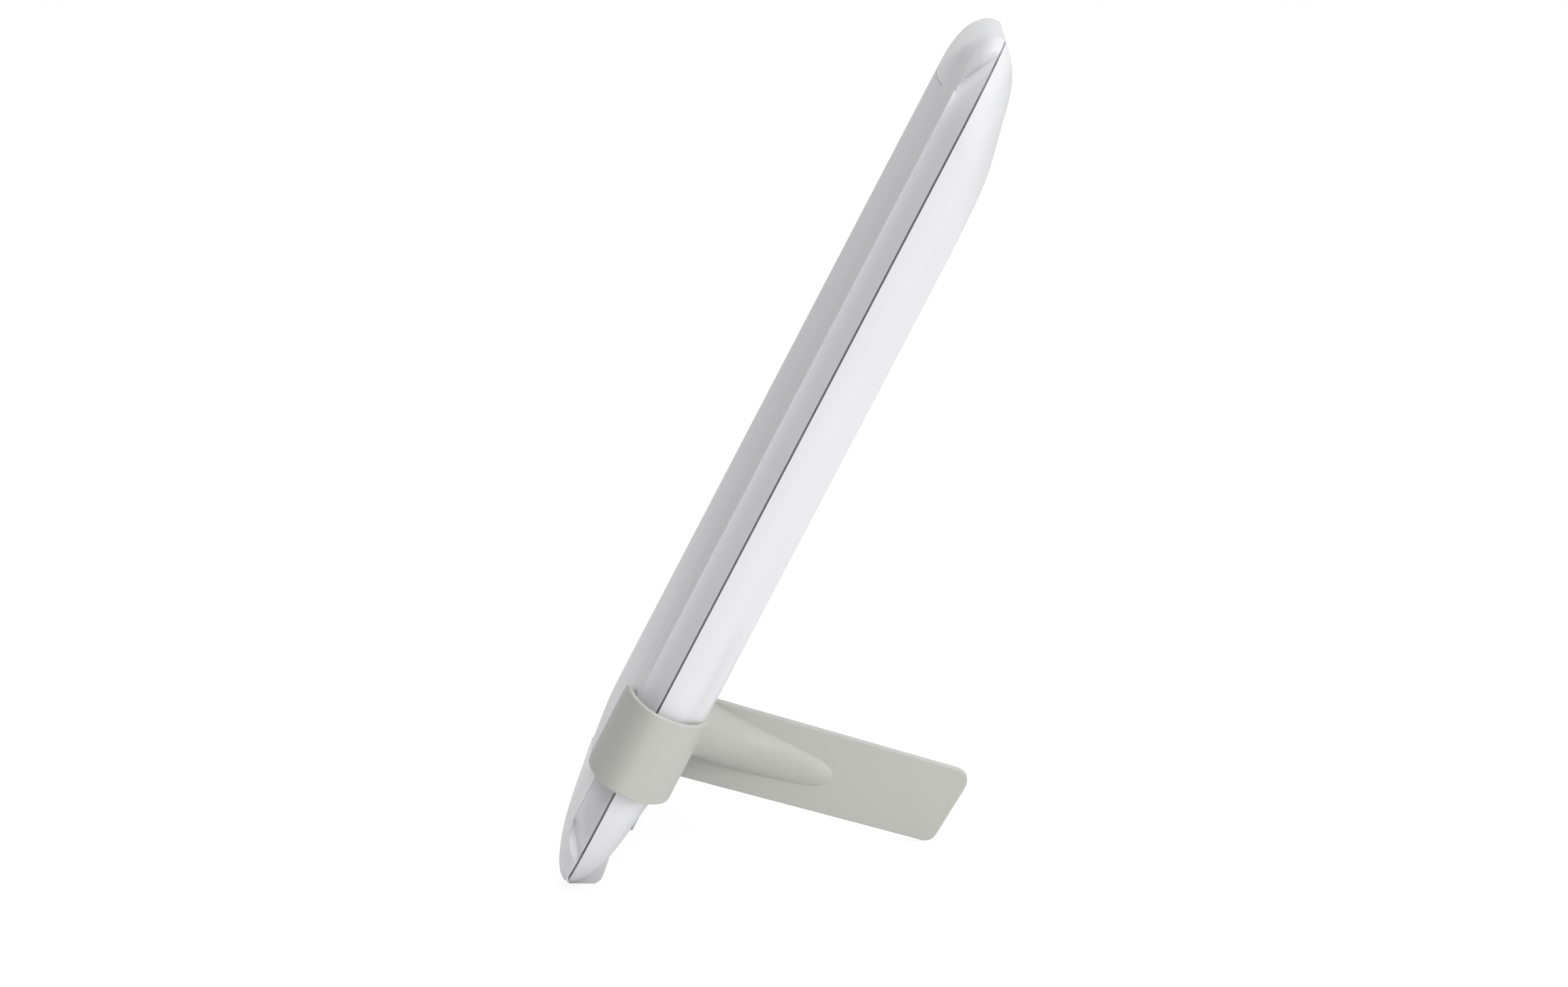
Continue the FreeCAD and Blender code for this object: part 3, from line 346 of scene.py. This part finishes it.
def clip_stations():
    """Stations from the front lip round the panel's edge to its back: outer point and inner point."""
    stations = []
    for k in range(CLIP_STEPS + 1):
        angle = math.radians(LIP_START + (LIP_END - LIP_START) * k / CLIP_STEPS)
        ahead = angle < 0
        outer = (OUTER_RUN, OUTER_FRONT if ahead else OUTER_BACK)
        inner = (INNER_RUN, INNER_FRONT if ahead else INNER_BACK)
        stations.append(
            [
                (CLIP_CENTRE + run * math.cos(angle), CLIP_MIDDLE + reach * math.sin(angle))
                for run, reach in (outer, inner)
            ]
        )
    return stations + [[(x, BAND_BACK), (x, BAND_FRONT)] for x in BAND_STATIONS]


def clip_rings():
    """Corners of the clip's wall at each station: its height draws in at the lip and behind the panel."""
    rings = []
    way, last = 0.0, None
    for outer, inner in clip_stations():
        way += math.dist(outer, last or outer)
        last = outer
        short = LIP_CORNER - math.sqrt(LIP_CORNER**2 - max(0.0, LIP_CORNER - way) ** 2)
        behind = min(1.0, max(0.0, (BAND_START - outer[0]) / BAND_FADE)) if outer[1] > 0 else 0.0
        behind = behind * behind * (3 - 2 * behind)
        low = CLIP_LOW + short + behind * BAND_LIFT
        high = CLIP_HIGH - short - behind * BAND_SINK
        rings.append([(*outer, low), (*outer, high), (*inner, high), (*inner, low)])
    return rings


def soften_rims(piece, width, segments):
    """Rounds a piece's sharp edges."""
    soft = piece.modifiers.new("soft_rims", "BEVEL")
    soft.width = width
    soft.segments = segments
    soft.limit_method = "ANGLE"
    soft.angle_limit = math.radians(50)
    soft.harden_normals = True


clips = surface("stand_clips", clip_rings(), stand_grey, capped=0)
other = clips.modifiers.new("other_side", "MIRROR")
other.use_clip = True
other.merge_threshold = 0.00001
soften_rims(clips, 0.0005, 3)
bake(clips)

# Stand: the fin
# A flat blade behind the band whose edges and far corners are rounded.
FIN_HALF = 1.8
FIN_CORNERS = [(12.2, 25.0, 0.5), (81.1, 40.6, 3.8), (82.5, 61.8, 3.8), (12.2, 47.4, 0.5)]  # y, z, radius
FIN_CORNER_STEPS = 10


def rounded_outline(corners):
    """Points of a closed outline whose corners are bent by a quadratic curve."""
    points = []
    for k, (y, z, radius) in enumerate(corners):
        here = Vector((y, z))
        before = (Vector(corners[k - 1][:2]) - here).normalized()
        after = (Vector(corners[(k + 1) % len(corners)][:2]) - here).normalized()
        reach = radius / math.tan(before.angle(after) / 2)
        start, end = here + before * reach, here + after * reach
        for step in range(FIN_CORNER_STEPS + 1):
            share = step / FIN_CORNER_STEPS
            points.append((1 - share) ** 2 * start + 2 * share * (1 - share) * here + share**2 * end)
    return points


outline = rounded_outline(FIN_CORNERS)
blade = bmesh.new()
left_side = [blade.verts.new(PANEL @ Vector((-FIN_HALF, y, z))) for y, z in outline]
right_side = [blade.verts.new(PANEL @ Vector((FIN_HALF, y, z))) for y, z in outline]
blade.faces.new(left_side)
blade.faces.new(right_side[::-1])
for k in range(len(outline)):
    after = (k + 1) % len(outline)
    blade.faces.new((left_side[after], left_side[k], right_side[k], right_side[after]))
fin = mesh_piece("stand_fin", blade, stand_grey)
soften_rims(fin, 0.0012, 4)
bake(fin)

# Stand: the horn on each side of the fin
# Wide where it leaves the band, then slim along the blade to a blunt tip.
HORN_START, HORN_RUN = 11.9, 40.5
HORN_STEPS, HORN_SIDES = 40, 48
FLARE, FLARE_RUN = 26.0, 6.0
HORN_HALF, HORN_TAPER = 5.0, 0.45
HORN_HEIGHT, HORN_RISE = 39.9, 3.9
HORN_TALL, HORN_TALL_LOSS = 7.2, 3.4
BEND_START, BEND_POWER, TIP_START, TIP_LEAST = 0.2, 1.3, 0.8, 0.12  # shares of the run, but for the power

horn_rings = []
for k in range(HORN_STEPS + 1):
    share = k / HORN_STEPS
    way = HORN_RUN * share
    bend = max(0.0, (share - BEND_START) / (1 - BEND_START)) ** BEND_POWER
    blunt = math.sqrt(max(0.0, 1 - max(0.0, (share - TIP_START) / (1 - TIP_START)) ** 2))
    blunt = max(TIP_LEAST, blunt)
    wide = (FLARE * math.exp(-way / FLARE_RUN) + HORN_HALF * (1 - HORN_TAPER * share)) * blunt
    tall = (HORN_TALL - HORN_TALL_LOSS * bend) * blunt
    middle = HORN_HEIGHT + HORN_RISE * bend
    angles = [2 * math.pi * j / HORN_SIDES for j in range(HORN_SIDES)]
    horn_rings.append([(wide * math.cos(a), HORN_START + way, middle + tall * math.sin(a)) for a in angles])
horn = surface("stand_horn", horn_rings, stand_grey, capped=-1)
for piece in (clips, fin, horn):
    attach(piece, "stand")
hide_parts("stand")
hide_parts("stand")
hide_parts("stand")

# Supply socket
# Glossy black socket with a plated pin in its bore.
LINE_STRETCH = (4000, 300, 300)  # per metre: short across the drawn lines, long along them


def metal(name, color, roughness, scratch=0.2):
    """Bare or plated metal with fine drawn lines in its roughness."""
    material = bpy.data.materials.new(name)
    material.use_nodes = True
    tree = material.node_tree
    shader = tree.nodes["Principled BSDF"]
    shader.inputs["Metallic"].default_value = 1.0
    shader.inputs["Base Color"].default_value = (*color, 1)
    place = tree.nodes.new("ShaderNodeTexCoord")
    stretch = tree.nodes.new("ShaderNodeMapping")
    stretch.inputs["Scale"].default_value = LINE_STRETCH
    lines = tree.nodes.new("ShaderNodeTexNoise")
    lines.inputs["Scale"].default_value = 1.0
    spread = tree.nodes.new("ShaderNodeMapRange")
    spread.inputs["To Min"].default_value = roughness
    spread.inputs["To Max"].default_value = roughness + scratch
    tree.links.new(place.outputs["Object"], stretch.inputs["Vector"])
    tree.links.new(stretch.outputs["Vector"], lines.inputs["Vector"])
    tree.links.new(lines.outputs["Fac"], spread.inputs["Value"])
    tree.links.new(spread.outputs["Result"], shader.inputs["Roughness"])
    return material


finish_node("dc_jack", plastic("socket_black", (0.012, 0.012, 0.013), 0.35, grain=0.1, ripple=0.05))
finish_node("jack_pin", metal("pin_plating", (0.75, 0.73, 0.68), 0.15, 0.1))

# Screws
# Zinc-plated steel with low round heads.
zinc = metal("zinc_steel", (0.55, 0.55, 0.57), 0.28)
for name in ("housing_screws", "switch_screws", "driver_screws"):
    finish_node(name, zinc)

# Light engine
# Behind the diffuser: foam ring, prism sheet, white tray, aluminium board with rows of yellow chips, and the
# spreader that carries its heat.
finish_node("diffuser_gasket", plastic("gasket_foam", (0.03, 0.03, 0.03), 0.85, grain=0.6, grain_size=900.0))
finish_node("prism_sheet", plastic("prism_frost", (0.8, 0.82, 0.83), 0.3, grain=0.4, grain_size=3000.0))
finish_node("reflector_tray", plastic("tray_white", (0.85, 0.85, 0.85), 0.5))
finish_node("led_board", plastic("board_white_mask", (0.8, 0.8, 0.78), 0.35))
finish_node("leds", plastic("led_phosphor", (0.8, 0.66, 0.18), 0.3))
finish_node("heat_spreader", metal("rolled_aluminium", (0.78, 0.78, 0.8), 0.3))

# Driver and switch boards
# Green glass-fibre boards with their parts, the switch behind the key, and the two supply leads in their
# clip.
board_green = plastic("board_green_mask", (0.02, 0.16, 0.07), 0.3, grain=0.2, grain_size=1200.0)
for name in ("driver_board", "switch_board"):
    finish_node(name, board_green)
part_black = plastic("part_black", (0.015, 0.015, 0.016), 0.4, grain=0.2)
for name in ("driver_chip", "switch_body", "switch_plunger"):
    finish_node(name, part_black)
finish_node("inductor", plastic("ferrite_dark", (0.03, 0.03, 0.032), 0.6, grain=0.5, grain_size=900.0))
finish_node("capacitor", metal("capacitor_can", (0.6, 0.6, 0.62), 0.25))
finish_node("lead_red", plastic("lead_red_pvc", (0.45, 0.02, 0.015), 0.4))
finish_node("lead_black", plastic("lead_black_pvc", (0.012, 0.012, 0.012), 0.4))
finish_node("lead_clip", plastic("clip_nylon", (0.7, 0.69, 0.64), 0.45))

# Floor and backdrop
# A white studio sweep: a floor that catches a faint shadow, and a world that the camera sees as white. To the
# object it is bright behind the lamp and dim in front, as the dark edges on its front side show.
FLOOR_HALF, FLOOR_DROP = 6.0, 0.0002
WORLD_FRONT, WORLD_BACK = -0.7, 0.25  # where the fade starts and ends, along Y
DIM, BRIGHT = 0.27, 0.78


def split_by_ray(tree, to_object, to_camera, output):
    """Shows one shader to the camera and another to every other ray."""
    path = tree.nodes.new("ShaderNodeLightPath")
    choice = tree.nodes.new("ShaderNodeMixShader")
    tree.links.new(path.outputs["Is Camera Ray"], choice.inputs["Fac"])
    tree.links.new(to_object, choice.inputs[1])
    tree.links.new(to_camera, choice.inputs[2])
    tree.links.new(choice.outputs["Shader"], tree.nodes[output].inputs["Surface"])


sweep_mesh = bmesh.new()
bmesh.ops.create_grid(sweep_mesh, x_segments=1, y_segments=1, size=FLOOR_HALF)
bmesh.ops.translate(sweep_mesh, verts=sweep_mesh.verts, vec=(0, 0, -FLOOR_DROP))
floor_data = bpy.data.meshes.new("studio_floor")
sweep_mesh.to_mesh(floor_data)
sweep_mesh.free()
floor = add_object("studio_floor", floor_data)
floor_white = bpy.data.materials.new("studio_floor")
floor_white.use_nodes = True
tree = floor_white.node_tree
bounce = tree.nodes["Principled BSDF"]
bounce.inputs["Base Color"].default_value = (0.9, 0.9, 0.9, 1)
bounce.inputs["Roughness"].default_value = 0.9
faint = tree.nodes.new("ShaderNodeBsdfDiffuse")
faint.inputs["Color"].default_value = (0.2, 0.2, 0.2, 1)
glow = tree.nodes.new("ShaderNodeEmission")
glow.inputs["Strength"].default_value = 0.88
sweep = tree.nodes.new("ShaderNodeAddShader")
tree.links.new(faint.outputs["BSDF"], sweep.inputs[0])
tree.links.new(glow.outputs["Emission"], sweep.inputs[1])
split_by_ray(tree, bounce.outputs["BSDF"], sweep.outputs["Shader"], "Material Output")
floor_data.materials.append(floor_white)

world = bpy.data.worlds.new("studio")
bpy.context.scene.world = world
world.use_nodes = True
tree = world.node_tree
ambient = tree.nodes["Background"]
ambient.inputs["Color"].default_value = (1, 1, 1, 1)
place = tree.nodes.new("ShaderNodeTexCoord")
parts = tree.nodes.new("ShaderNodeSeparateXYZ")
fade = tree.nodes.new("ShaderNodeMapRange")
fade.interpolation_type = "SMOOTHSTEP"
fade.inputs["From Min"].default_value = WORLD_FRONT
fade.inputs["From Max"].default_value = WORLD_BACK
fade.inputs["To Min"].default_value = DIM
fade.inputs["To Max"].default_value = BRIGHT
tree.links.new(place.outputs["Generated"], parts.inputs["Vector"])
tree.links.new(parts.outputs["Y"], fade.inputs["Value"])
tree.links.new(fade.outputs["Result"], ambient.inputs["Strength"])
seen = tree.nodes.new("ShaderNodeBackground")
seen.inputs["Color"].default_value = (1, 1, 1, 1)
split_by_ray(tree, ambient.outputs["Background"], seen.outputs["Background"], "World Output")

# Lamps
# Two large soft boxes: one above, and one on the camera's side behind the panel.
LAMP_AIM = (0, 0, 0.1)


def softbox(name, place, side, power):
    data = bpy.data.lights.new(name, "AREA")
    data.size = side
    data.energy = power
    lamp = add_object(name, data)
    lamp.location = place
    lamp.rotation_euler = (Vector(LAMP_AIM) - Vector(place)).to_track_quat("-Z", "Y").to_euler()


softbox("top_box", (0.3, 0.2, 1.6), 1.6, 11)
softbox("right_box", (1.2, 1.3, 0.8), 1.0, 7)

# Camera
# It stands on the panel's right-hand side, a little above the panel's top, as the photograph was taken.
CAMERA_YAW, CAMERA_PITCH = math.radians(1.97), math.radians(7.95)

camera_data = bpy.data.cameras.new("camera")
camera_data.sensor_width = 36.0
camera_data.lens = 108.0
camera_data.clip_start = 0.01
camera = add_object("camera", camera_data)
camera.location = (1.2, 0.0397, 0.2583)
level = math.cos(CAMERA_PITCH)
gaze = Vector((-math.cos(CAMERA_YAW) * level, -math.sin(CAMERA_YAW) * level, -math.sin(CAMERA_PITCH)))
camera.rotation_euler = gaze.to_track_quat("-Z", "Y").to_euler()
bpy.context.scene.camera = camera
bpy.context.scene.view_settings.view_transform = "Standard"
